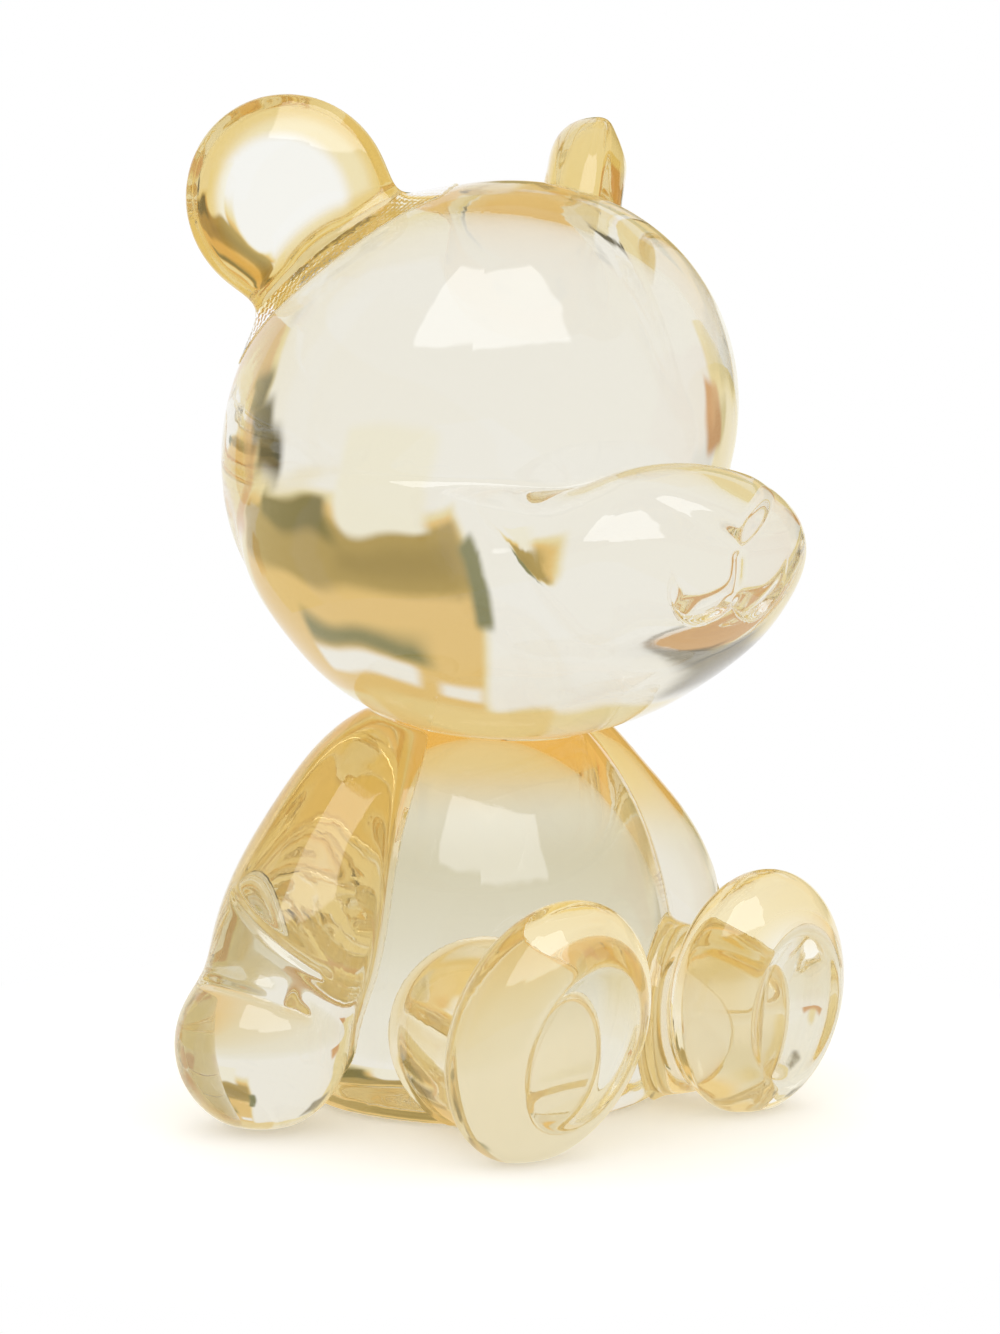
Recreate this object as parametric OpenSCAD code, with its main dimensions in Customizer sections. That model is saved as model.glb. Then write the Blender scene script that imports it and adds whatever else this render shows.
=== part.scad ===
// Sitting bear figurine in pale champagne crystal.
// Ten solid castings are seated on each other and held by thin films of clear adhesive.
// The bear faces -Y, its right side is -X, and it sits flat on the plane z = 0.
// All sizes are in millimetres, and a radius of a lobe is half its size in that direction.

/* [Torso] */
// Radius of the egg-shaped torso, side to side and front to back
torso_r = 27; // [26:0.2:28]
// Radius of the torso in height
torso_rz = 42; // [41:0.2:43]
// Height of the torso's widest level above the table
torso_z = 14.9; // [14.3:0.2:15.5]

/* [Skull] */
// Height of the middle of the skull
skull_z = 90.9; // [89.9:0.2:91.9]
// Radius of the skull, side to side
skull_rx = 36.2; // [35.2:0.2:37.2]
// Radius of the skull along its short axis, up and back
skull_short = 31; // [30:0.2:32]
// Radius of the skull along its long axis, up and forward
skull_long = 37.2; // [36.2:0.2:38.2]
// Forward lean of the skull's long axis, in degrees
skull_lean = 45; // [42:1:48]

/* [Face] */
// Distance of the jaw's middle in front of the origin
jaw_fwd = 6.8; // [6:0.2:7.6]
// Height of the jaw's middle
jaw_z = 66.6; // [66.2:0.2:67]
// Radius of the jaw, side to side
jaw_rx = 29.2; // [28.2:0.2:30.2]
// Radius of the jaw, front to back
jaw_ry = 26; // [25:0.5:27]
// Radius of the jaw in height
jaw_rz = 17; // [16.6:0.2:17.4]
// Distance of a cheek's middle from the middle plane
cheek_out = 19.2; // [18.6:0.2:19.8]
// Distance of a cheek's middle in front of the origin
cheek_fwd = 4.5; // [3.7:0.2:5.3]
// Height of a cheek's middle
cheek_z = 76; // [75.4:0.2:76.6]
// Radius of a cheek, side to side
cheek_rx = 18.2; // [17.8:0.1:18.6]
// Radius of a cheek, front to back
cheek_ry = 23; // [22.4:0.2:23.6]
// Radius of a cheek in height
cheek_rz = 16.2; // [15.8:0.1:16.6]
// Distance of the muzzle's middle in front of the origin
muzzle_fwd = 26.4; // [25.6:0.2:27.2]
// Height of the muzzle's middle
muzzle_z = 69.8; // [69.4:0.1:70.2]
// Radius of the muzzle, side to side
muzzle_rx = 22.3; // [21.7:0.1:22.9]
// Radius of the muzzle, front to back
muzzle_ry = 21; // [20.4:0.2:21.6]
// Radius of the muzzle in height
muzzle_rz = 13.1; // [12.7:0.1:13.5]
// Upward tilt of the muzzle, in degrees
muzzle_tilt = 5; // [3:1:7]
// Distance of the snout's middle in front of the origin
snout_fwd = 39.4; // [38.8:0.2:40]
// Height of the snout's middle
snout_z = 76.6; // [76.2:0.1:77]
// Radius of the snout, side to side
snout_rx = 20.4; // [19.8:0.1:21]
// Radius of the snout, front to back and in height
snout_r = 11.1; // [10.7:0.1:11.5]
// Upward tilt of the snout, in degrees
snout_tilt = 10; // [8:1:12]
// Distance of the nose's middle in front of the origin
nose_fwd = 48.4; // [48:0.1:48.8]
// Height of the nose's middle
nose_z = 82.4; // [82:0.1:82.8]
// Radius of the nose, side to side
nose_rx = 7.6; // [7.2:0.1:8]
// Radius of the nose, front to back and in height
nose_ry = 4.4; // [4.1:0.1:4.7]

/* [Ears] */
// Distance of an ear's middle from the middle plane
ear_out = 26.5; // [26:0.1:27]
// Distance of an ear's middle behind the origin
ear_back = 8.5; // [8:0.1:9]
// Height of an ear's middle
ear_z = 122.3; // [121.9:0.1:122.7]
// Radius of the round ear
ear_r = 13.6; // [13:0.1:14.2]
// Half the thickness of an ear at its middle
ear_half = 6.5; // [6:0.1:7]
// Turn of an ear towards its own side, in degrees
ear_turn = 48; // [45:1:51]
// Lean of an ear towards the face, in degrees
ear_lean = 8; // [6:1:10]
// Radius of the shallow dish in the front of an ear
ear_dish_r = 8.8; // [8.2:0.1:9.4]
// Depth of that dish
ear_dish = 1.6; // [1.2:0.1:2]

/* [Arms] */
// Distance of an upper arm's middle from the middle plane
upper_out = 21; // [20.5:0.1:21.5]
// Distance of an upper arm's middle behind the origin
upper_back = 2.6; // [2.2:0.1:3]
// Height of an upper arm's middle
upper_z = 38.6; // [38.2:0.1:39]
// Radius of an upper arm across
upper_r = 10; // [9.6:0.1:10.4]
// Radius of an upper arm along its length
upper_long = 19; // [18.6:0.1:19.4]
// Outward slope of an upper arm, in degrees
upper_slope = 38; // [36:1:40]
// Distance of a forearm's middle from the middle plane
fore_out = 31.2; // [30.7:0.1:31.7]
// Distance of a forearm's middle behind the origin
fore_back = 0.8; // [0.4:0.1:1.2]
// Height of a forearm's middle
fore_z = 23.9; // [23.5:0.1:24.3]
// Radius of a forearm across
fore_r = 11; // [10.6:0.1:11.4]
// Radius of a forearm along its length
fore_long = 18; // [17.4:0.2:18.6]
// Outward slope of a forearm, in degrees
fore_slope = 24; // [22:1:26]
// Distance of a hand's middle from the middle plane
hand_out = 37.2; // [36.7:0.1:37.7]
// Distance of a hand's middle behind the origin
hand_back = 0.5; // [0.2:0.1:0.8]
// Radius of a hand across
hand_r = 11.5; // [11.2:0.1:11.8]
// Radius of a hand in height
hand_rz = 11.6; // [11.4:0.1:11.8]
// Depth that is ground off flat under a hand
hand_flat = 0.5; // [0.4:0.1:0.8]

/* [Legs] */
// Distance of the right leg's middle from the middle plane
leg_out = 16; // [15.6:0.1:16.4]
// Distance of the right leg's middle in front of the origin
leg_fwd = 20; // [19.6:0.1:20.4]
// Gap between the underside of a leg and the table
leg_gap = 0.3; // [0.2:0.1:0.6]
// Radius of a leg across
leg_r = 11; // [10.6:0.1:11.4]
// Radius of a leg in height
leg_rz = 12.3; // [12:0.1:12.6]
// Radius of a leg along its length
leg_long = 20; // [19.4:0.2:20.6]
// Outward splay of a leg, in degrees
leg_splay = 20; // [18:1:22]
// How far the left leg and foot are set in towards the middle
left_leg_in = 2; // [1:0.2:3]
// How far the left leg and foot are set back
left_leg_back = 2.2; // [1:0.2:3]

/* [Feet] */
// Distance of the right foot's middle from the middle plane
foot_out = 20.5; // [20:0.1:21]
// Distance of the right foot's middle in front of the origin
foot_fwd = 38; // [37.6:0.1:38.4]
// Height of a foot's middle
foot_z = 16.4; // [16:0.1:16.6]
// Radius of a foot, side to side
foot_rx = 14; // [13.6:0.1:14.4]
// Radius of a foot, sole to heel
foot_ry = 9; // [8.8:0.1:9.4]
// Radius of a foot in height
foot_rz = 17.5; // [17.3:0.1:17.9]
// Forward lean of a foot, and its roll towards the other one, in degrees
foot_lean = 12; // [10:1:14]
// Radius of the hollow in a sole, side to side
sole_rx = 9.2; // [8.6:0.1:9.8]
// Radius of the hollow in a sole, in height
sole_rz = 12.2; // [11.6:0.1:12.8]
// Depth of the hollow in a sole
sole_deep = 3; // [2:0.2:3.6]

/* [Bonds] */
// Thickness of the clear adhesive film in every bonded seat
film = 0.15; // [0.12:0.01:0.2]

/* [Hidden] */
$fn = 120;
crystal = "#efe3bd";
adhesive = "#f6efdc";
nose_lean = 20;
table_size = 400;
table_depth = 60;
ear_at = [ear_out, ear_back, ear_z];
ear_pose = [90 - ear_lean, 0, ear_turn + 180];
leg_pose = [90, 180, -leg_splay];
foot_at = [-foot_out, -foot_fwd, foot_z];
foot_pose = [foot_lean, foot_lean, 0];

// A rounded lobe: an ellipsoid of radii r, turned and set in its place
module lobe(at, r, pose = [0, 0, 0]) {
    translate(at) rotate(pose) scale(r) sphere(r = 1);
}

// Everything under the table, which the castings are ground flat on
module below_table() {
    translate([0, 0, -table_depth / 2])
        cube([table_size, table_size, table_depth], center = true);
}

// The two sides are mirror images of each other
module mirrored() {
    mirror([1, 0, 0]) children();
}

// The place of a leg and its foot, which on the left sit a little further in and back
module leg_place(left) {
    if (left) translate([-left_leg_in, left_leg_back, 0]) mirrored() children();
    else children();
}

// The torso's egg, or the seat that fits over it with room for a film
module torso_form(room = 0) {
    lobe([0, 0, torso_z], [torso_r + room, torso_r + room, torso_rz + room]);
}

// The skull's egg, or the seat that fits over it with room for a film
module skull_form(room = 0) {
    lobe([0, 0, skull_z], [skull_rx + room, skull_short + room, skull_long + room],
         [-skull_lean, 0, 180]);
}

// The jaw, or the room for it that is taken off the top of a shoulder
module jaw_form(room = 0) {
    lobe([0, -jaw_fwd, jaw_z], [jaw_rx + room, jaw_ry + room, jaw_rz + room]);
}

// The right cheek
module cheek_form() {
    lobe([-cheek_out, -cheek_fwd, cheek_z], [cheek_rx, cheek_ry, cheek_rz]);
}

module head_form() {
    skull_form();
    cheek_form();
    mirrored() cheek_form();
    jaw_form();
    lobe([0, -muzzle_fwd, muzzle_z], [muzzle_rx, muzzle_ry, muzzle_rz], [-muzzle_tilt, 0, 0]);
    lobe([0, -snout_fwd, snout_z], [snout_rx, snout_r, snout_r], [-snout_tilt, 0, 0]);
    lobe([0, -nose_fwd, nose_z], [nose_rx, nose_ry, nose_ry], [nose_lean, 0, 0]);
}

// The left ear: a thick lens with its axis on the lobe's own z axis, and a shallow dish in its front
module ear_form() {
    translate(ear_at)
        rotate(ear_pose)
            difference() {
                lobe([0, 0, 0], [ear_r, ear_r, ear_half]);
                lobe([0, 0, -ear_half], [ear_dish_r, ear_dish_r, ear_dish]);
            }
}

// The right arm: upper arm, forearm and mitten hand in one
module arm_form() {
    lobe([-upper_out, upper_back, upper_z], [upper_r, upper_r, upper_long], [0, upper_slope, 0]);
    lobe([-fore_out, fore_back, fore_z], [fore_r, fore_r, fore_long], [0, fore_slope, 0]);
    lobe([-hand_out, hand_back, hand_rz - hand_flat], [hand_r, hand_r, hand_rz]);
}

// The right leg, lying forward from the torso, with its length on the lobe's own z axis
module leg_form() {
    lobe([-leg_out, -leg_fwd, leg_gap + leg_rz], [leg_r, leg_rz, leg_long], leg_pose);
}

// The right foot's oval, or the seat that fits over its back with room for a film
module foot_form(room = 0) {
    lobe(foot_at, [foot_rx + room, foot_ry + room, foot_rz + room], foot_pose);
}

// The hollow in the sole of the right foot
module sole_hollow() {
    translate(foot_at)
        rotate(foot_pose)
            lobe([0, -foot_ry, 0], [sole_rx, sole_deep, sole_rz]);
}

module ear() {
    difference() {
        ear_form();
        skull_form(film);
    }
}

module ear_film() {
    difference() {
        intersection() {
            ear_form();
            skull_form(film);
        }
        skull_form();
    }
}

// The arm is hollowed to fit the flank of the torso, and its shoulder clears the jaw above it
module arm() {
    difference() {
        arm_form();
        torso_form(film);
        jaw_form(film);
        below_table();
    }
}

module arm_film() {
    difference() {
        intersection() {
            arm_form();
            torso_form(film);
        }
        torso_form();
        jaw_form(film);
        below_table();
    }
}

// The leg is hollowed to fit the torso behind it and the foot in front of it
module leg(left = false) {
    difference() {
        leg_place(left) leg_form();
        torso_form(film);
        leg_place(left) foot_form(film);
    }
}

module leg_film(left = false) {
    difference() {
        intersection() {
            leg_place(left) leg_form();
            torso_form(film);
        }
        torso_form();
    }
}

module foot() {
    difference() {
        foot_form();
        sole_hollow();
        below_table();
    }
}

module foot_film() {
    difference() {
        intersection() {
            leg_form();
            foot_form(film);
        }
        foot_form();
    }
}

module torso() {
    color(crystal)
        difference() {
            torso_form();
            below_table();
        }
}

// The head is hollowed under the jaw to fit over the top of the torso
module head() {
    color(crystal)
        difference() {
            head_form();
            torso_form(film);
        }
}

module neck_bond() {
    color(adhesive)
        difference() {
            intersection() {
                head_form();
                torso_form(film);
            }
            torso_form();
        }
}

module right_ear() { color(crystal) mirrored() ear(); }
module left_ear() { color(crystal) ear(); }
module right_arm() { color(crystal) arm(); }
module left_arm() { color(crystal) mirrored() arm(); }
module right_leg() { color(crystal) leg(); }
module left_leg() { color(crystal) leg(true); }
module right_foot() { color(crystal) foot(); }
module left_foot() { color(crystal) leg_place(true) foot(); }
module right_ear_bond() { color(adhesive) mirrored() ear_film(); }
module left_ear_bond() { color(adhesive) ear_film(); }
module right_arm_bond() { color(adhesive) arm_film(); }
module left_arm_bond() { color(adhesive) mirrored() arm_film(); }
module right_leg_bond() { color(adhesive) leg_film(); }
module left_leg_bond() { color(adhesive) leg_film(true); }
module right_foot_bond() { color(adhesive) foot_film(); }
module left_foot_bond() { color(adhesive) leg_place(true) foot_film(); }

torso();
head();
right_ear();
left_ear();
right_arm();
left_arm();
right_leg();
left_leg();
right_foot();
left_foot();
neck_bond();
right_ear_bond();
left_ear_bond();
right_arm_bond();
left_arm_bond();
right_leg_bond();
left_leg_bond();
right_foot_bond();
left_foot_bond();
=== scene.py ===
from math import cos, pi, radians, sin

import bpy
import numpy as np
from mathutils import Euler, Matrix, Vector


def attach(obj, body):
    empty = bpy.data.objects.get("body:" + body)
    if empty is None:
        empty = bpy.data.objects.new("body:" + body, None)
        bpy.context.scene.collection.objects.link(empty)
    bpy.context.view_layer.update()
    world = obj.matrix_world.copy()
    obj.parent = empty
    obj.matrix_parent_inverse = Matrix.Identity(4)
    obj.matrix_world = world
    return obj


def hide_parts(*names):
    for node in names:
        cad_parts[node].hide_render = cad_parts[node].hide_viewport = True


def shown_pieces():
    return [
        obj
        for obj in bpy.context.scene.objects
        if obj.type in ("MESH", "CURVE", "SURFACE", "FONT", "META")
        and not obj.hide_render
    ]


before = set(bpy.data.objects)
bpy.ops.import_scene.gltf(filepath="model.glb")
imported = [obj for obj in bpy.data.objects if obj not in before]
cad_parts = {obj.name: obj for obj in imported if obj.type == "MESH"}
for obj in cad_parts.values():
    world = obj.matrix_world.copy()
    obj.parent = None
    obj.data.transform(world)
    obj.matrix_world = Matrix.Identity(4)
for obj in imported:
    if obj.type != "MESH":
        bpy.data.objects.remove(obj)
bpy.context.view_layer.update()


# Torso: a solid egg of crystal, cast in a mould, ground flat under its base and polished all over.
# The head, the arms and the legs are bonded to it. Sizes are in millimetres here, and a turn in degrees.
MM = 0.001
torso_at, torso_radii = (0, 0, 14.9), (27, 27, 42)
base_edge = 4
torso_grain = 0.8
# Painted light on the torso: amber painted warm light towards the neck, and painted shade round the waist.
neck_painted_light, neck_from, neck_over = "#fbd27c", 40, 8
waist_painted_shade, waist_low, waist_rise, waist_high, waist_fall = "#e9e6d8", 12, 14, 42, 8


def linear(colour):
    """Turns an sRGB hex colour into linear light for a shader socket."""
    parts = [int(colour[i:i + 2], 16) / 255 for i in (1, 3, 5)]
    return [*(c / 12.92 if c <= 0.04045 else ((c + 0.055) / 1.055) ** 2.4 for c in parts), 1]


def add_node(tree, kind, sockets=None, **settings):
    """Adds one shader node, sets its properties, and links or fills its sockets."""
    made = tree.nodes.new("ShaderNode" + kind)
    for name, value in settings.items():
        setattr(made, name, value)
    for name, value in (sockets or {}).items():
        if isinstance(value, bpy.types.NodeSocket):
            tree.links.new(value, made.inputs[name])
        else:
            made.inputs[name].default_value = value
    return made


def new_material(name):
    """Makes an empty material and returns it with its node tree and its output node."""
    material = bpy.data.materials.new(name)
    material.use_nodes = True
    material.node_tree.nodes.clear()
    return material, material.node_tree, add_node(material.node_tree, "OutputMaterial")


# Polished crystal, pale champagne in the mass. Each casting's tint also carries painted light: amber in its
# rims and near its seats is painted warm light, the torso's waist has painted shade, and the polish leaves
# faint waves that bend what is seen through it.
CLEAR, PAINTED_AMBER_LIGHT, WHITE = "#ece9de", "#f2d27c", "#ffffff"
wave_long, wave_high = 14, 0.03
crystal, tree, output = new_material("polished_champagne_crystal")
tint = add_node(tree, "Attribute", attribute_name="tint")
place = add_node(tree, "TexCoord").outputs["Object"]
wave = add_node(tree, "TexNoise", {"Vector": place, "Scale": 1 / (wave_long * MM), "Detail": 1.0})
ripple = add_node(tree, "Bump", {"Height": wave.outputs[0], "Strength": 1.0, "Distance": wave_high * MM})
glass = add_node(tree, "BsdfPrincipled", {
    "Base Color": tint.outputs["Color"], "Transmission Weight": 1.0, "IOR": 1.5,
    "Roughness": 0.0, "Normal": ripple.outputs[0]})
tree.links.new(glass.outputs[0], output.inputs["Surface"])

# The adhesive has the crystal's own refractive index, so a bonded face can't be seen at all.
# It is the second finish on every casting, after the crystal itself.
BONDED = 1
bonded_face, tree, output = new_material("bonded_crystal_face")
unseen = add_node(tree, "BsdfPrincipled", {"Alpha": 0.0, "Base Color": linear(CLEAR)})
tree.links.new(unseen.outputs[0], output.inputs["Surface"])


def lobe(at, radii, turn=(0, 0, 0)):
    """A rounded mass: the middle, the half sizes and the turn of an ellipsoid."""
    return np.array(at, float), np.array(radii, float), np.array([radians(angle) for angle in turn])


def swell(mass, more):
    """The same rounded mass with its skin moved outwards, or inwards if more is negative."""
    return mass[0], mass[1] + more, mass[2]


def turn_of(mass):
    """The turn of a mass as a matrix, whose columns are the mass's own directions."""
    return np.array(Euler(mass[2]).to_matrix())


def local_to(points, mass):
    """The places of points in a mass's own directions, from its middle."""
    return (points - mass[0]) @ turn_of(mass)


def reach(points, mass):
    """How far points lie outside the skin of a rounded mass; inside it the distance is negative."""
    local, radii = local_to(points, mass), mass[1]
    share = np.linalg.norm(local / radii, axis=1)
    slope = np.linalg.norm(local / radii ** 2, axis=1)
    return share * (share - 1) / np.maximum(slope, 1e-9)


def meld(near, far, fillet):
    """The outer skin of two forms that run into each other, with a soft fillet in the corner."""
    overlap = np.maximum(fillet - abs(near - far), 0) / fillet
    return np.minimum(near, far) - overlap ** 3 * fillet / 6


def trim(form, limit, edge):
    """The part of a form that lies within another one, with the edge rounded over."""
    return -meld(-form, -limit, edge)


def on_table(form, points, edge):
    """A form ground flat on the table, with the edge of the flat rounded over."""
    return trim(form, -points[:, 2], edge)


def pick(*pieces):
    """Selects only these objects and makes the first one active."""
    bpy.ops.object.select_all(action="DESELECT")
    for piece in pieces:
        piece.select_set(True)
    bpy.context.view_layer.objects.active = pieces[0]


def ball(mass, name):
    """Adds one sphere at a mass's size, turn and place."""
    at, radii, turn = mass
    bpy.ops.object.select_all(action="DESELECT")
    bpy.ops.mesh.primitive_ico_sphere_add(subdivisions=6, radius=1, location=at * MM, rotation=turn,
                                          scale=radii * MM)
    made = bpy.context.object
    made.name = name
    bpy.ops.object.transform_apply(location=True, rotation=True, scale=True)
    for finish in (crystal, bonded_face):
        made.data.materials.append(finish)
    return made


def slice_off(piece, at, way):
    """Cuts a piece along a plane, keeps the side that the way points to, and closes the cut."""
    pick(piece)
    bpy.ops.object.mode_set(mode="EDIT")
    bpy.ops.mesh.select_all(action="SELECT")
    bpy.ops.mesh.bisect(plane_co=Vector(at) * MM, plane_no=way, use_fill=True, clear_inner=True)
    bpy.ops.object.mode_set(mode="OBJECT")


def fuse(name, masses, grain, *slices):
    """Piles up spheres for the masses, slices them, and fuses them into one rough casting."""
    rough = [ball(mass, name) for mass in masses]
    for at, way in (((0, 0, 0), (0, 0, 1)), *slices):
        for part in rough:
            slice_off(part, at, way)
    pick(*rough)
    bpy.ops.object.join()
    made = bpy.context.object
    made.name = name
    skin = made.modifiers.new("fuse", "REMESH")
    skin.mode, skin.voxel_size = "VOXEL", grain * MM
    bpy.ops.object.modifier_apply(modifier=skin.name)
    return made


def points_of(piece):
    """The places of a piece's points, in millimetres."""
    flat = np.empty(len(piece.data.vertices) * 3)
    piece.data.vertices.foreach_get("co", flat)
    return flat.reshape(-1, 3) / MM


def place_points(piece, points):
    """Moves a piece's points to these places."""
    piece.data.vertices.foreach_set("co", (points * MM).ravel())
    piece.data.update()


def outward(points, shape):
    """The way out of a form at these points; its length is the form's rise for one millimetre."""
    step = 0.02
    rises = [shape(points + step * axis) - shape(points - step * axis) for axis in np.eye(3)]
    return np.stack(rises, 1) / step / 2


def draw_onto(piece, shape, steps):
    """Draws every point of a casting towards the skin where shape() is zero, in a few steps."""
    least_slope, longest = 0.05, 1.5
    points = points_of(piece)
    for _ in range(steps):
        way = outward(points, shape)
        move = shape(points) / np.maximum((way ** 2).sum(1), least_slope)
        points -= np.clip(move, -longest, longest)[:, None] * way
    place_points(piece, points)


def polish(piece, shape):
    """Turns a rough casting into its polished form, where shape() is zero.
    The points are evened out half way, to keep faces from folding over in a crease."""
    draw_onto(piece, shape, steps=6)
    pick(piece)
    bpy.ops.object.mode_set(mode="EDIT")
    bpy.ops.mesh.select_all(action="SELECT")
    bpy.ops.mesh.vertices_smooth(factor=0.5, repeat=2)
    bpy.ops.object.mode_set(mode="OBJECT")
    draw_onto(piece, shape, steps=4)


def cut(piece, tool):
    """Takes one solid away from another and throws the tool away."""
    change = piece.modifiers.new("cut", "BOOLEAN")
    change.operation, change.object, change.solver = "DIFFERENCE", tool, "MANIFOLD"
    pick(piece)
    bpy.ops.object.modifier_apply(modifier=change.name)
    bpy.data.objects.remove(tool)


def ease(share):
    """A soft ramp from 0 to 1."""
    share = np.clip(share, 0, 1)
    return share * share * (3 - 2 * share)


def blend(share, pale, deep):
    """The colour between a pale and a deep one, for each point's share of the deep one."""
    return np.array(linear(pale)) + share[:, None] * (np.array(linear(deep)) - linear(pale))


def torso_tint_and_painted_light(points):
    """The torso's tint at each point: painted warm light in amber towards the neck, and painted shade round the
    waist.
    """
    level = points[:, 2]
    neck = ease((level - neck_from) / neck_over)
    waist = ease((level - waist_low) / waist_rise) * ease((waist_high - level) / waist_fall)
    return blend(neck, CLEAR, neck_painted_light) * blend(waist, WHITE, waist_painted_shade)


torso_egg = lobe(torso_at, torso_radii)
torso = fuse("torso_casting", [torso_egg], torso_grain)
polish(torso, lambda points: on_table(reach(points, torso_egg), points, base_edge))
tints_and_painted_light = {torso: torso_tint_and_painted_light}
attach(torso, "root")
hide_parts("torso")


# Head: skull, cheeks, jaw, muzzle and snout in one casting, with full jowls, a soft nose and a carved smile.
# It has no eyes. It is hollowed under the jaw to sit over the top of the torso, and bonded there.
skull = lobe((0, 0, 90.9), (36.2, 31, 37.2), (45, 0, 0))
jaw = lobe((0, -6.8, 66.6), (29.2, 26, 17))
cheeks = [lobe((side * 19.2, -4.5, 76.8), (18.2, 23, 16.2), (8, 0, 0)) for side in (-1, 1)]
muzzle = lobe((0, -26.4, 69.8), (22.3, 21, 13.1), (-5, 0, 0))
snout = lobe((0, -39.4, 76.6), (20.4, 11.1, 11.1), (-10, 0, 0))
jaw_fillet, cheek_fillet, snout_fillet, brow_fillet, nape_fillet = 14, 12, 9, 1.6, 8
jowl_at, jowl_round, jowl_full = (22.5, -31, 75), 13, 22
nose_half, nose_corner_z, nose_tip_z, nose_top_z, nose_high = 8.2, 82.6, 77.4, 87.5, 1.5
lip_half, lip_low_x, lip_low_z, lip_middle_z, lip_corner_z, lip_deep = 9.8, 5, 68.2, 70.4, 71.8, 1.25
nape_y, nape_soft = 12, 12
nose_edge, nose_soft, nose_bridge = 0.1, 3.6, 8
pocket_high, pocket_sharp, pocket_end, pocket_middle = 4.4, 0.7, 2.5, 1.8
groove_wide, groove_deep, groove_end = 0.9, 0.3, 1.5
carved_y, carved_soft = -38, 3
fine_y, fine_half, fine_low, fine_high = -40, 14, 64, 88
head_grain, face_cuts = 0.8, 3
film_room, seat_deep, film_gap, seat_near = 0.15, 0.05, 0.03, 0.02
# Under the ears the head's tint has painted warm light, half way to amber.
ear_root_at, ear_root_round, ear_root_soft, ear_root_painted_light = (23, 7.5, 117), 12.5, 4, 0.5


def to_pair(points, at):
    """The distance of points to a place on the bear's left, or to its mirror image on the right."""
    return np.linalg.norm(np.stack([abs(points[:, 0]), *points.T[1:]], 1) - at, axis=1)


def head_shape(points):
    """How far points lie outside the head, with its sharp brow crease, full jowls and soft nape."""
    full = jowl_full * np.exp(-(to_pair(points, jowl_at) / jowl_round) ** 2)
    face = meld(reach(points, jaw), reach(points, muzzle), jaw_fillet)
    face = meld(face, reach(points, snout), snout_fillet)
    for cheek in cheeks:
        face = meld(face, reach(points, cheek), cheek_fillet + full)
    crease = brow_fillet + nape_fillet * ease((points[:, 1] - nape_y) / nape_soft)
    return meld(face, reach(points, skull), crease)


def nose_rise(points):
    """How far the soft three-cornered nose stands out of the snout."""
    x, _, z = points.T
    slant = np.array((nose_half, nose_corner_z - nose_tip_z))
    slant /= np.linalg.norm(slant)
    inside = slant[0] * (z - nose_tip_z) - slant[1] * (np.sqrt(x * x + 1) - 1)
    return nose_high * ease(nose_edge + inside / nose_soft) * ease((nose_top_z - z) / nose_bridge)


def smile_depth(points):
    """How deep the two pockets of the mouth and the groove above them are carved."""
    x, _, z = points.T
    across = abs(x)
    to_middle = np.clip(1 - across / lip_low_x, 0, 1) ** 2
    to_corner = np.clip((across - lip_low_x) / (lip_half - lip_low_x), 0, 1.3) ** 2
    above = z - lip_low_z - (lip_middle_z - lip_low_z) * to_middle - (lip_corner_z - lip_low_z) * to_corner
    pocket = np.where(above > 0, np.clip(1 - above / pocket_high, 0, 1) ** 2, ease(1 + above / pocket_sharp))
    pocket *= ease((lip_half + 0.6 - across) / pocket_end) * (0.25 + 0.75 * ease(across / pocket_middle))
    groove = np.exp(-(x / groove_wide) ** 2) * ease((z - lip_middle_z + 0.5) / groove_end)
    groove *= ease((nose_tip_z - z) / groove_end)
    return lip_deep * pocket + groove_deep * groove


def face_depth(points):
    """How deep the face is carved at the front of the head; where the nose stands out it is negative."""
    return (smile_depth(points) - nose_rise(points)) * ease((carved_y - points[:, 1]) / carved_soft)


def open_faces(piece, mask):
    """Opens a piece for editing, with only the masked faces selected."""
    pick(piece)
    bpy.ops.object.mode_set(mode="EDIT")
    bpy.ops.mesh.select_all(action="DESELECT")
    bpy.ops.object.mode_set(mode="OBJECT")
    piece.data.polygons.foreach_set("select", mask)
    bpy.ops.object.mode_set(mode="EDIT")
    bpy.ops.mesh.select_mode(type="FACE")


def refine(piece, chosen, cuts):
    """Divides the faces whose middles are chosen, so that a fine carving keeps its edges."""
    middles = np.empty(len(piece.data.polygons) * 3)
    piece.data.polygons.foreach_get("center", middles)
    open_faces(piece, chosen(*(middles.reshape(-1, 3) / MM).T))
    bpy.ops.mesh.subdivide(number_cuts=cuts)
    bpy.ops.object.mode_set(mode="OBJECT")


def carve(piece, shape, depth):
    """Sinks a piece's polished skin by the depth at each point."""
    points = points_of(piece)
    way = outward(points, shape)
    way /= np.linalg.norm(way, axis=1)[:, None]
    place_points(piece, points - depth(points)[:, None] * way)


def on_skin(points, from_mass, to_mass):
    """Points on the skin of one mass, moved to the skin of a mass of another size at the same place."""
    return local_to(points, from_mass) * (to_mass[1] / from_mass[1]) @ turn_of(to_mass).T + to_mass[0]


def copy_of(piece, name):
    """Adds a copy of a piece, with a mesh of its own."""
    made = piece.copy()
    made.data = piece.data.copy()
    made.name = name
    bpy.context.collection.objects.link(made)
    return made


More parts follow.
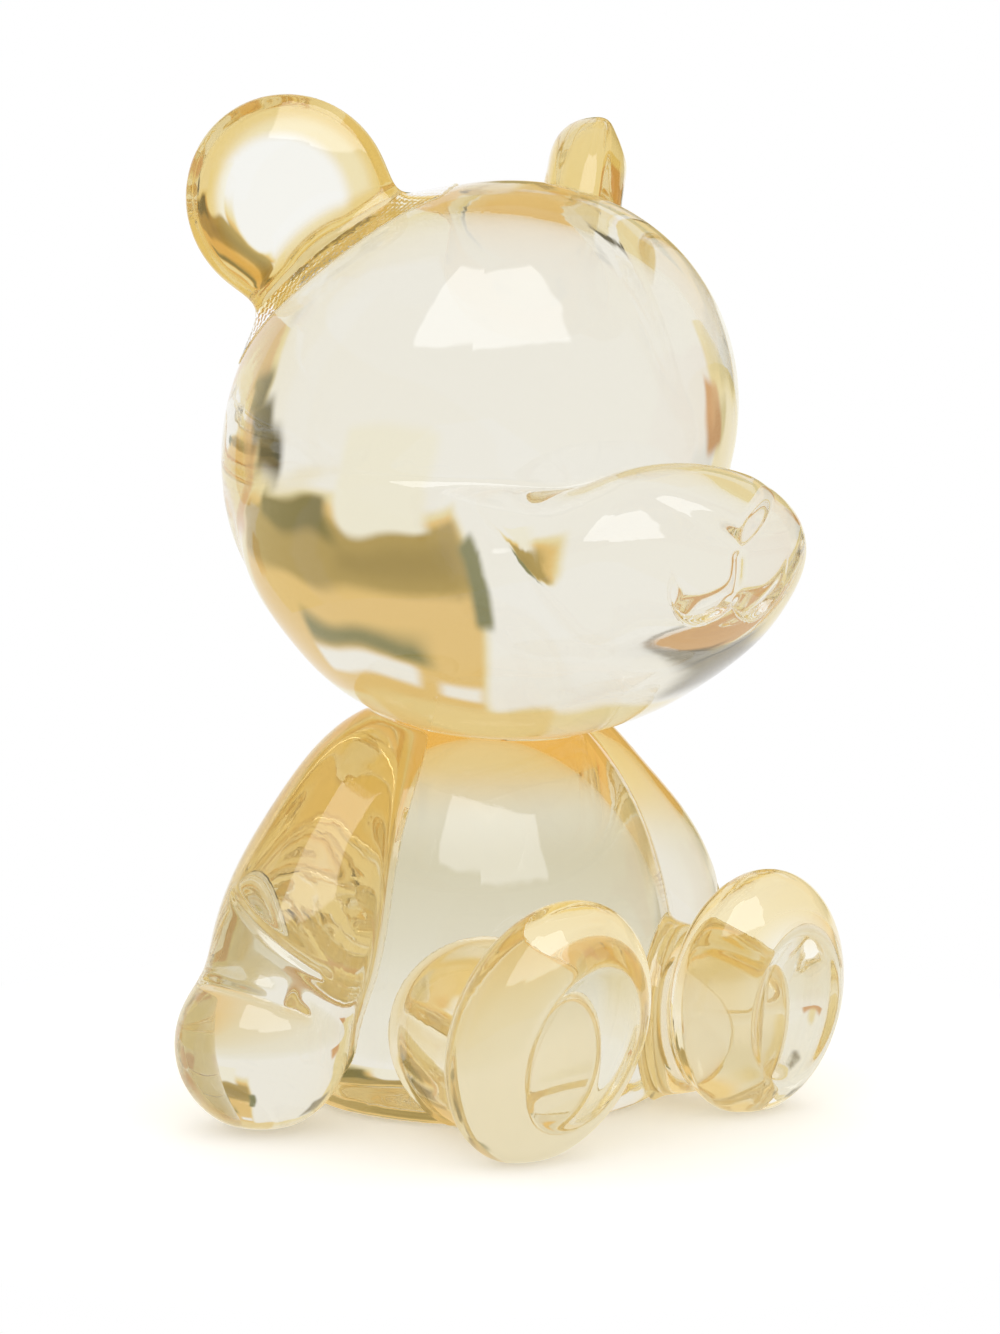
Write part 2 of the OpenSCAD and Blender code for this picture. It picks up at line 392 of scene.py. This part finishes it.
def seat(piece, base, base_mass, film_name):
    """Hollows a casting to fit its base, grinds the seat into the base, and returns the adhesive film."""
    outer, inner = swell(base_mass, film_room), swell(base_mass, -seat_deep)
    hollow = ball(outer, "hollow")
    hollow.data.polygons.foreach_set("material_index", [BONDED] * len(hollow.data.polygons))
    cut(piece, hollow)
    points = points_of(piece)
    seated = abs(reach(points, outer)) < seat_near
    grinder = copy_of(piece, "grinder")
    ground = points.copy()
    ground[seated] = on_skin(points[seated], outer, inner)
    place_points(grinder, ground)
    cut(base, grinder)
    film = copy_of(piece, film_name)
    points[seated] = on_skin(points[seated], outer, swell(base_mass, film_room - film_gap))
    place_points(film, points)
    open_faces(film, [not all(seated[v] for v in face.vertices) for face in film.data.polygons])
    bpy.ops.mesh.delete(type="FACE")
    bpy.ops.object.mode_set(mode="OBJECT")
    wall = film.modifiers.new("wall", "SOLIDIFY")
    wall.thickness, wall.offset = (film_room - 2 * film_gap) * MM, 1.0
    film.data.materials.clear()
    bpy.ops.object.modifier_apply(modifier=wall.name)
    return film


def head_tint_and_painted_light(points):
    """The head's tint at each point: clear, with painted warm light half way to amber under the ears."""
    near_ear = ease((ear_root_round - to_pair(points, ear_root_at)) / ear_root_soft)
    return blend(ear_root_painted_light * near_ear, CLEAR, PAINTED_AMBER_LIGHT)


head = fuse("head_casting", [skull, jaw, muzzle, snout, *cheeks], head_grain)
refine(head, lambda x, y, z: (y < fine_y) & (abs(x) < fine_half) & (z > fine_low) & (z < fine_high), face_cuts)
polish(head, head_shape)
carve(head, head_shape, face_depth)
films = [seat(head, torso, torso_egg, "neck_film")]
tints_and_painted_light[head] = head_tint_and_painted_light
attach(head, "root")
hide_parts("head")


# Ears: thick round discs, bevelled in front and domed behind, that meet in a rounded crest at the rim.
# Each is a casting of its own, flared at its root, bonded to the skull and turned well outwards.
sides = (("right", -1), ("left", 1))
ear_at, ear_lean, ear_turn = (26.3, 8.3, 122.2), 8, 48
ear_radius, ear_flat_radius, ear_crest, ear_front, ear_back = 14, 7.8, -1.5, -5.4, 6.4
ear_dish, ear_crest_round, ear_front_round, ear_flare, ear_square = 0.5, 2, 3, 8, 5
ear_grain, ear_root = 0.6, 0.55
# The ears' amber in the rim and at the root is painted warm light.
ear_clear, ear_painted_light, ear_rim_soft, ear_root_high = "#f6f6f2", "#e8cf8a", 2, 4.5


def ear_disc(points, mass):
    """The distance to an ear's disc, which faces along its own y axis."""
    x, y, z = local_to(points, mass).T
    out = np.hypot(x, z)
    rim, rise = (out / ear_radius) ** ear_square, ((y - ear_crest) / (ear_back - ear_crest)) ** 2
    slope = np.hypot(ear_square * rim / np.maximum(out, 1), 2 * rise / np.maximum(abs(y - ear_crest), 1e-3))
    dome = (rim + rise - 1) / np.maximum(slope, 0.05)
    bevel = np.array((ear_crest - ear_front, ear_flat_radius - ear_radius))
    bevel /= np.linalg.norm(bevel)
    front = bevel[0] * (out - ear_radius) + bevel[1] * (y - ear_crest)
    flat = ear_front + ear_dish * np.clip(1 - (out / ear_flat_radius) ** 2, 0, 1) - y
    return trim(trim(dome, front, ear_crest_round), flat, ear_front_round)


def ear_tint_and_painted_light(disc):
    """The tint of an ear: clear in the middle, with painted warm light in amber in the rim and at the root."""
    def tint_and_light_at(points):
        x, _, z = local_to(points, disc).T
        rim = ease((np.hypot(x, z) - ear_flat_radius) / ear_rim_soft)
        root = ease((ear_root_high - reach(points, skull)) / ear_rim_soft)
        return blend(np.maximum(rim, root), ear_clear, ear_painted_light)
    return tint_and_light_at


for name, side in sides:
    disc = lobe((side * ear_at[0], *ear_at[1:]), (ear_radius, ear_back, ear_radius),
                (ear_lean, 0, side * ear_turn))

    def ear_shape(points):
        """How far points lie outside an ear and the skull that its root flares into."""
        return meld(ear_disc(points, disc), reach(points, skull), ear_flare)

    way = disc[0] - skull[0]
    ear = fuse(name + "_ear_casting", [disc, skull], ear_grain, (skull[0] + ear_root * way, way))
    polish(ear, ear_shape)
    films.append(seat(ear, head, skull, name + "_ear_film"))
    tints_and_painted_light[ear] = ear_tint_and_painted_light(disc)
    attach(ear, "root")
    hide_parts(name + "_ear")


# Feet: fat oval pads that lean forward, with a hollow pressed into each sole and a flat ground underneath.
# They are cast on their own and carried by the legs. The left one sits a little further in and back,
# and the right one is rolled a little more towards the other.
foot_at, foot_radii, foot_lean = (20.5, -38, 16.4), (14, 9, 17.5), 12
foot_roll = {"right": 18, "left": 12}
sole_radii, sole_ahead = (9.8, 5.4, 13), 1
left_in, left_back = 2, 2.2
sole_edge, foot_edge, foot_grain = 1, 0.8, 0.6
# The feet's amber in the upper part of the rim is painted warm light.
foot_clear, foot_painted_light, foot_most = "#fdfcf6", "#fbe08c", 0.7


def limb_at(at, side):
    """The place of a leg or a foot on one side."""
    shift = (left_in, left_back) if side > 0 else (0, 0)
    return side * at[0] - shift[0], at[1] + shift[1], at[2]


def foot_tint_and_painted_light(pad):
    """The tint of a foot: clear in the middle, with painted warm light in amber in the upper part of the rim.
    """
    def tint_and_light_at(points):
        x, _, z = (local_to(points, pad) / pad[1]).T
        amber = foot_most * ease((np.hypot(x, z) - 0.6) / 0.25) * ease((z + 0.1) / 0.8)
        return blend(amber, foot_clear, foot_painted_light)
    return tint_and_light_at


feet, foot_masses = {}, {}
for name, side in sides:
    pad = lobe(limb_at(foot_at, side), foot_radii, (foot_lean, -side * foot_roll[name], 0))
    front = turn_of(pad) @ np.array((0, -foot_radii[1] - sole_ahead, 0))
    sole = (pad[0] + front, np.array(sole_radii), pad[2])

    def foot_shape(points):
        """How far points lie outside a pad with its hollow sole."""
        hollowed = trim(reach(points, pad), -reach(points, sole), sole_edge)
        return on_table(hollowed, points, foot_edge)

    foot = fuse(name + "_foot_casting", [pad], foot_grain)
    polish(foot, foot_shape)
    feet[name], foot_masses[name] = foot, pad
    tints_and_painted_light[foot] = foot_tint_and_painted_light(pad)
    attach(foot, "root")
    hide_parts(name + "_foot")


# Arms: upper arm, forearm and mitten hand in one casting, with a crease at the elbow and at the wrist.
# They hang down the flanks to the table, where the hands are ground flat, and clear the jaw at the top.
upper_arm = ((21, 2.6, 38.6), (10, 10, 19), 38)
forearm = ((31.2, 0.8, 23.9), (11, 11, 18), 24)
hand = ((37.2, 0.5, 11.2), (11.5, 11.5, 11.6), 0)
elbow_fillet, wrist_fillet, arm_flare, hand_edge, arm_grain = 9, 4, 2.5, 1.5, 0.6
jaw_room, jaw_edge = 0.3, 0.8
dimple_at, dimple_round, dimple_deep = (40, -8.6, 18.6), 1.4, 0.8
wrist_deep, wrist_level, wrist_wide, wrist_out = 0.7, 0.1, 0.8, 36.5
elbow_deep, elbow_level, elbow_wide, elbow_out, elbow_tilt = 0.45, 10.5, 0.7, 33, 0.5
arm_inside, arm_cuts = 8, 2
# The arms' amber over the upper arm is painted warm light.
arm_clear, arm_most, arm_amber_from, arm_amber_over = "#ebe7da", 0.8, 30, 12

for name, side in sides:
    upper, fore, mitten = (lobe((side * at[0], *at[1:]), radii, (0, -side * slope, 0))
                           for at, radii, slope in (upper_arm, forearm, hand))

    def arm_shape(points):
        """How far points lie outside an arm that flares into the torso and clears the jaw."""
        arm = meld(reach(points, upper), reach(points, fore), elbow_fillet)
        arm = on_table(meld(arm, reach(points, mitten), wrist_fillet), points, hand_edge)
        return trim(meld(arm, reach(points, torso_egg), arm_flare), jaw_room - head_shape(points), jaw_edge)

    def crease_depth(points):
        """How deep the creases at the elbow and the wrist and the dimple between them are pressed in."""
        out, y, z = (points * (side, 1, 1)).T
        level = cos(radians(forearm[2])) * z - sin(radians(forearm[2])) * out
        wrist = wrist_deep * np.exp(-((level - wrist_level) / wrist_wide) ** 2)
        wrist = wrist * ease((6 - y) / 6) * ease((out - wrist_out) / 2)
        elbow = elbow_deep * np.exp(-((level - elbow_tilt * y - elbow_level) / elbow_wide) ** 2)
        elbow = elbow * ease((5 - y) / 4) * ease((out - elbow_out) / 2)
        away = np.linalg.norm(np.stack([out, y, z], 1) - dimple_at, axis=1)
        return wrist + elbow + dimple_deep * np.exp(-(away / dimple_round) ** 2)

    arm = fuse(name + "_arm_casting", [upper, fore, mitten, torso_egg], arm_grain,
               ((side * arm_inside, 0, 0), (side, 0, 0)))
    refine(arm, lambda x, y, z: (side * x > 32) & (y < 6) & (z > 14) & (z < 36), arm_cuts)
    polish(arm, arm_shape)
    carve(arm, arm_shape, crease_depth)
    films.append(seat(arm, torso, torso_egg, name + "_arm_film"))
    # Painted warm light: amber over the upper arm, clear below.
    tints_and_painted_light[arm] = lambda points: blend(
        arm_most * ease((points[:, 2] - arm_amber_from) / arm_amber_over), arm_clear, PAINTED_AMBER_LIGHT)
    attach(arm, "root")
    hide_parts(name + "_arm")


# Legs: short rounded castings that lie on the table in front of the torso and carry the feet.
# Each has a seat at both ends, one on the torso and one on the back of its foot.
leg_at, leg_radii, leg_splay = (16, -20, 12.6), (11, 20, 12.3), 20
leg_flare, leg_edge, leg_grain = 2.5, 0.8, 0.6
leg_amber, leg_share = "#fbe08c", 0.3

for name, side in sides:
    thigh, pad = lobe(limb_at(leg_at, side), leg_radii, (0, 0, side * leg_splay)), foot_masses[name]

    def leg_shape(points):
        """How far points lie outside a leg that flares into the torso and its foot."""
        leg = meld(reach(points, thigh), reach(points, torso_egg), leg_flare)
        return on_table(meld(leg, reach(points, pad), leg_flare), points, leg_edge)

    leg = fuse(name + "_leg_casting", [thigh, torso_egg, pad], leg_grain)
    polish(leg, leg_shape)
    films.append(seat(leg, torso, torso_egg, name + "_leg_film"))
    films.append(seat(leg, feet[name], pad, name + "_foot_film"))
    tints_and_painted_light[leg] = lambda points: blend(np.full(len(points), leg_share), WHITE, leg_amber)
    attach(leg, "root")
    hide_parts(name + "_leg")


# Bonds: thin films of clear adhesive, cured under ultraviolet light, one in every seat.
# They let light through and colour it a little, so a joint that is looked through twice or more turns amber.
adhesive, tree, output = new_material("cured_clear_adhesive")
glue = add_node(tree, "BsdfPrincipled", {
    "Base Color": linear("#fef9ea"), "Transmission Weight": 0.93, "IOR": 1.0, "Roughness": 0.3})
tree.links.new(glue.outputs[0], output.inputs["Surface"])
for film in films:
    film.data.materials.append(adhesive)
    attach(film, "root")
    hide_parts(film.name.replace("_film", "_bond"))

# Each casting's tint, with its painted warm light and painted shade, goes onto the casting's points.
for piece, tint_and_light_of in tints_and_painted_light.items():
    tint = piece.data.color_attributes.new("tint", "FLOAT_COLOR", "POINT")
    tint.data.foreach_set("color", tint_and_light_of(points_of(piece)).ravel())
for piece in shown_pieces():
    pick(piece)
    bpy.ops.object.shade_smooth_by_angle(angle=radians(40))


# The set: a white table and a white background to the camera. What the crystal bends towards and mirrors is
# a studio round it: a white sweep behind, a gold reflector on the right, and a softbox over the camera.
view_turn, view_lift, view_distance = -40, 5, 435
aim_right, aim_high = 2.6, 58.9
turn, lift = radians(view_turn), radians(view_lift)
right_way, view_way = Vector((cos(turn), sin(turn), 0)), Vector((-sin(turn), cos(turn), 0))
aim = aim_right * right_way + Vector((0, 0, aim_high))
back = sin(lift) * Vector((0, 0, 1)) - cos(lift) * view_way
bpy.ops.object.camera_add(location=(aim + view_distance * back) * MM,
                          rotation=(-back).to_track_quat("-Z", "Y").to_euler())
camera = bpy.context.object
camera.data.lens, camera.data.sensor_width, camera.data.clip_start = 85, 36, 0.01

table_wide, table_long, table_shift, table_drop = 240, 2200, 500, 0.1
bpy.ops.object.select_all(action="DESELECT")
bpy.ops.mesh.primitive_plane_add(size=1, rotation=(0, 0, turn),
                                 location=(table_shift * view_way - Vector((0, 0, table_drop))) * MM)
table = bpy.context.object
table.name = "table"
table.scale = (table_wide * MM, table_long * MM, 1)
bpy.ops.object.transform_apply(location=True, rotation=True, scale=True)

# The table keeps the bear's shadow for the camera. To rays by way of the crystal it glows instead with painted
# light and shade:
# a painted pool of amber light where the bear stands, painted shade in cream round it, and white further out.
ring_wide, ring_painted_pool = 160, "#f6cf85"
ring_stops = ((22, ring_painted_pool), (32, "#f4e8ca"), (50, "#f8f4e8"), (80, "#faf9f3"), (110, WHITE))
shadow_near, shadow_far, table_glow = 64, 110, 0.3


def crystal_rays(tree):
    """Adds a value that is 1 for rays that crystal has mirrored or bent, and 0 for all others."""
    path = add_node(tree, "LightPath").outputs
    return add_node(tree, "Math", {0: path["Is Glossy Ray"], 1: path["Is Transmission Ray"]},
                    operation="MAXIMUM").outputs[0]


table_finish, tree, output = new_material("white_table")
away = add_node(tree, "VectorMath", {0: add_node(tree, "TexCoord").outputs["Object"]},
                operation="LENGTH").outputs["Value"]
along = add_node(tree, "MapRange", {"Value": away, "From Max": ring_wide * MM})
ring = add_node(tree, "ValToRGB", {0: along.outputs[0]})
stops = ring.color_ramp.elements
stops.remove(stops[1])
stops[0].color = linear(ring_painted_pool)
for distance, colour in ring_stops:
    stops.new(distance / ring_wide).color = linear(colour)
far = add_node(tree, "MapRange", {"Value": away, "From Min": shadow_near * MM, "From Max": shadow_far * MM})
white = add_node(tree, "BsdfDiffuse", {"Color": linear("#fbfbfa")})
glow = add_node(tree, "Emission", {"Color": linear("#fff8ea"), "Strength": table_glow})
near = add_node(tree, "AddShader", {0: white.outputs[0], 1: glow.outputs[0]})
plain = add_node(tree, "Emission", {"Color": ring.outputs[0], "Strength": 1.0})
share = add_node(tree, "Math", {0: crystal_rays(tree), 1: far.outputs[0]}, operation="MAXIMUM")
cover = add_node(tree, "MixShader", {0: share.outputs[0], 1: near.outputs[0], 2: plain.outputs[0]})
tree.links.new(cover.outputs[0], output.inputs["Surface"])
table.data.materials.append(table_finish)

# Panels of the studio: the degrees to the right of the view line and above the table that each one spans,
# how soft its edge is, and its colour. A later panel stands in front of the ones before it. Their edges are
# bent a little, and slope down to the right. The softbox shows only where the polish mirrors it directly.
room = "#f6e8ba"
panels = (
    (-180, 180, 50, 95, 5, "#f8f0d8"),
    (-104, -86, -95, 50, 3, "#fdfaf0"),
    (-50, 50, -95, 3, 2, "#ffffff"),
    (-50, 2, -5, 44, 1.5, "#ffffff"),
    (3, 53, 5.5, 45, 1, "#f0cd86"),
    (3, 53, 7.5, 18.5, 1.5, "#b89f5e"),
    (5, 24, 11.5, 16, 2, "#a89154"),
    (24, 46, 4.5, 11, 1.5, "#7d733f"),
    (0.5, 4, 13, 23, 1, "#86875f"),
    (8, 22, -5, 8.5, 1.2, "#fffdf2"),
    (12, 36, 25.5, 30, 2, "#8c8858"),
    (15, 36, 31, 38, 1.5, "#ffffff"),
    (-14, 30, 43, 59, 2, "#f4dc9e"),
    (3, 11, 34, 39, 1.5, "#ffffff"),
    (54, 95, -35, 15, 2, "#dfb483"),
    (51, 64, -19, -9, 2.5, "#3f4038"),
    (45, 58, -11, -2, 2.5, "#3f4038"),
    (40, 53, -5, 2.5, 2, "#4d4832"),
    (-54, -45, -16, -0.5, 1.5, "#dfae82"),
    (-58, -38, 26, 42, 3, "#8a857a"))
softbox, softbox_glow = (134, 210, 28, 72, 1.5), 3.8
bend_fine, bend_by, slant_by, slant_to = 5.0, 6.0, 0.08, 50.0

scene = bpy.context.scene
world = bpy.data.worlds.new("studio")
scene.world = world
world.use_nodes = True
tree = world.node_tree
tree.nodes.clear()
output = add_node(tree, "OutputWorld")
way = add_node(tree, "TexCoord").outputs["Generated"]
ahead, aside, above = (add_node(tree, "VectorMath", {0: way, 1: axis}, operation="DOT_PRODUCT").outputs["Value"]
                       for axis in (view_way, right_way, (0, 0, 1)))
bend = add_node(tree, "TexNoise", {"Vector": way, "Scale": bend_fine, "Detail": 0.0}).outputs["Color"]
bend = add_node(tree, "SeparateXYZ", {0: bend}).outputs
angles = []
for angle, shift in ((add_node(tree, "Math", {0: aside, 1: ahead}, operation="ARCTAN2"), bend[0]),
                     (add_node(tree, "Math", {0: above}, operation="ARCSINE"), bend[1])):
    degrees = add_node(tree, "Math", {0: angle.outputs[0], 1: 180 / pi, 2: -bend_by / 2},
                       operation="MULTIPLY_ADD")
    bent = add_node(tree, "Math", {0: shift, 1: bend_by, 2: degrees.outputs[0]}, operation="MULTIPLY_ADD")
    angles.append(bent.outputs[0])
across, height = angles
slant = add_node(tree, "Clamp", {"Value": across, "Min": 0.0, "Max": slant_to}).outputs[0]
height = add_node(tree, "Math", {0: slant, 1: slant_by, 2: height}, operation="MULTIPLY_ADD").outputs[0]


def band(angle, low, high, soft):
    """How far an angle lies within a band with soft edges, from 0 to 1."""
    rise, fall = (add_node(tree, "MapRange", {"Value": angle, "From Min": start, "From Max": end},
                           interpolation_type="SMOOTHSTEP").outputs[0]
                  for start, end in ((low - soft, low + soft), (high + soft, high - soft)))
    return add_node(tree, "Math", {0: rise, 1: fall}, operation="MULTIPLY").outputs[0]


def patch(across, panel):
    """How far a direction lies within a panel of the studio, from 0 to 1."""
    left, right, low, high, soft = panel
    return add_node(tree, "Math", {0: band(across, left, right, soft), 1: band(height, low, high, soft)},
                    operation="MULTIPLY").outputs[0]


look = linear(room)
for *panel, colour in panels:
    look = add_node(tree, "Mix", {"Factor": patch(across, panel), "A": look, "B": linear(colour)},
                    data_type="RGBA").outputs[2]
behind = add_node(tree, "Math", {0: across, 1: 360.0}, operation="FLOORED_MODULO").outputs[0]
path = add_node(tree, "LightPath").outputs
once = add_node(tree, "Math", {0: path["Is Glossy Ray"], 1: path["Is Transmission Ray"]},
                operation="GREATER_THAN")
mirrored = add_node(tree, "Math", {0: patch(behind, softbox), 1: once.outputs[0]}, operation="MULTIPLY")
look = add_node(tree, "Mix", {"Factor": mirrored.outputs[0], "A": look, "B": [softbox_glow] * 3 + [1]},
                data_type="RGBA").outputs[2]
seen = add_node(tree, "Mix", {"Factor": crystal_rays(tree), "A": [1, 1, 1, 1], "B": look}, data_type="RGBA")
sky = add_node(tree, "Background", {"Color": seen.outputs[2], "Strength": 1.0})
tree.links.new(sky.outputs[0], output.inputs["Surface"])

scene.camera = camera
scene.view_settings.view_transform = "Standard"
scene.cycles.max_bounces = scene.cycles.glossy_bounces = scene.cycles.transmission_bounces = 32
scene.cycles.transparent_max_bounces = 48
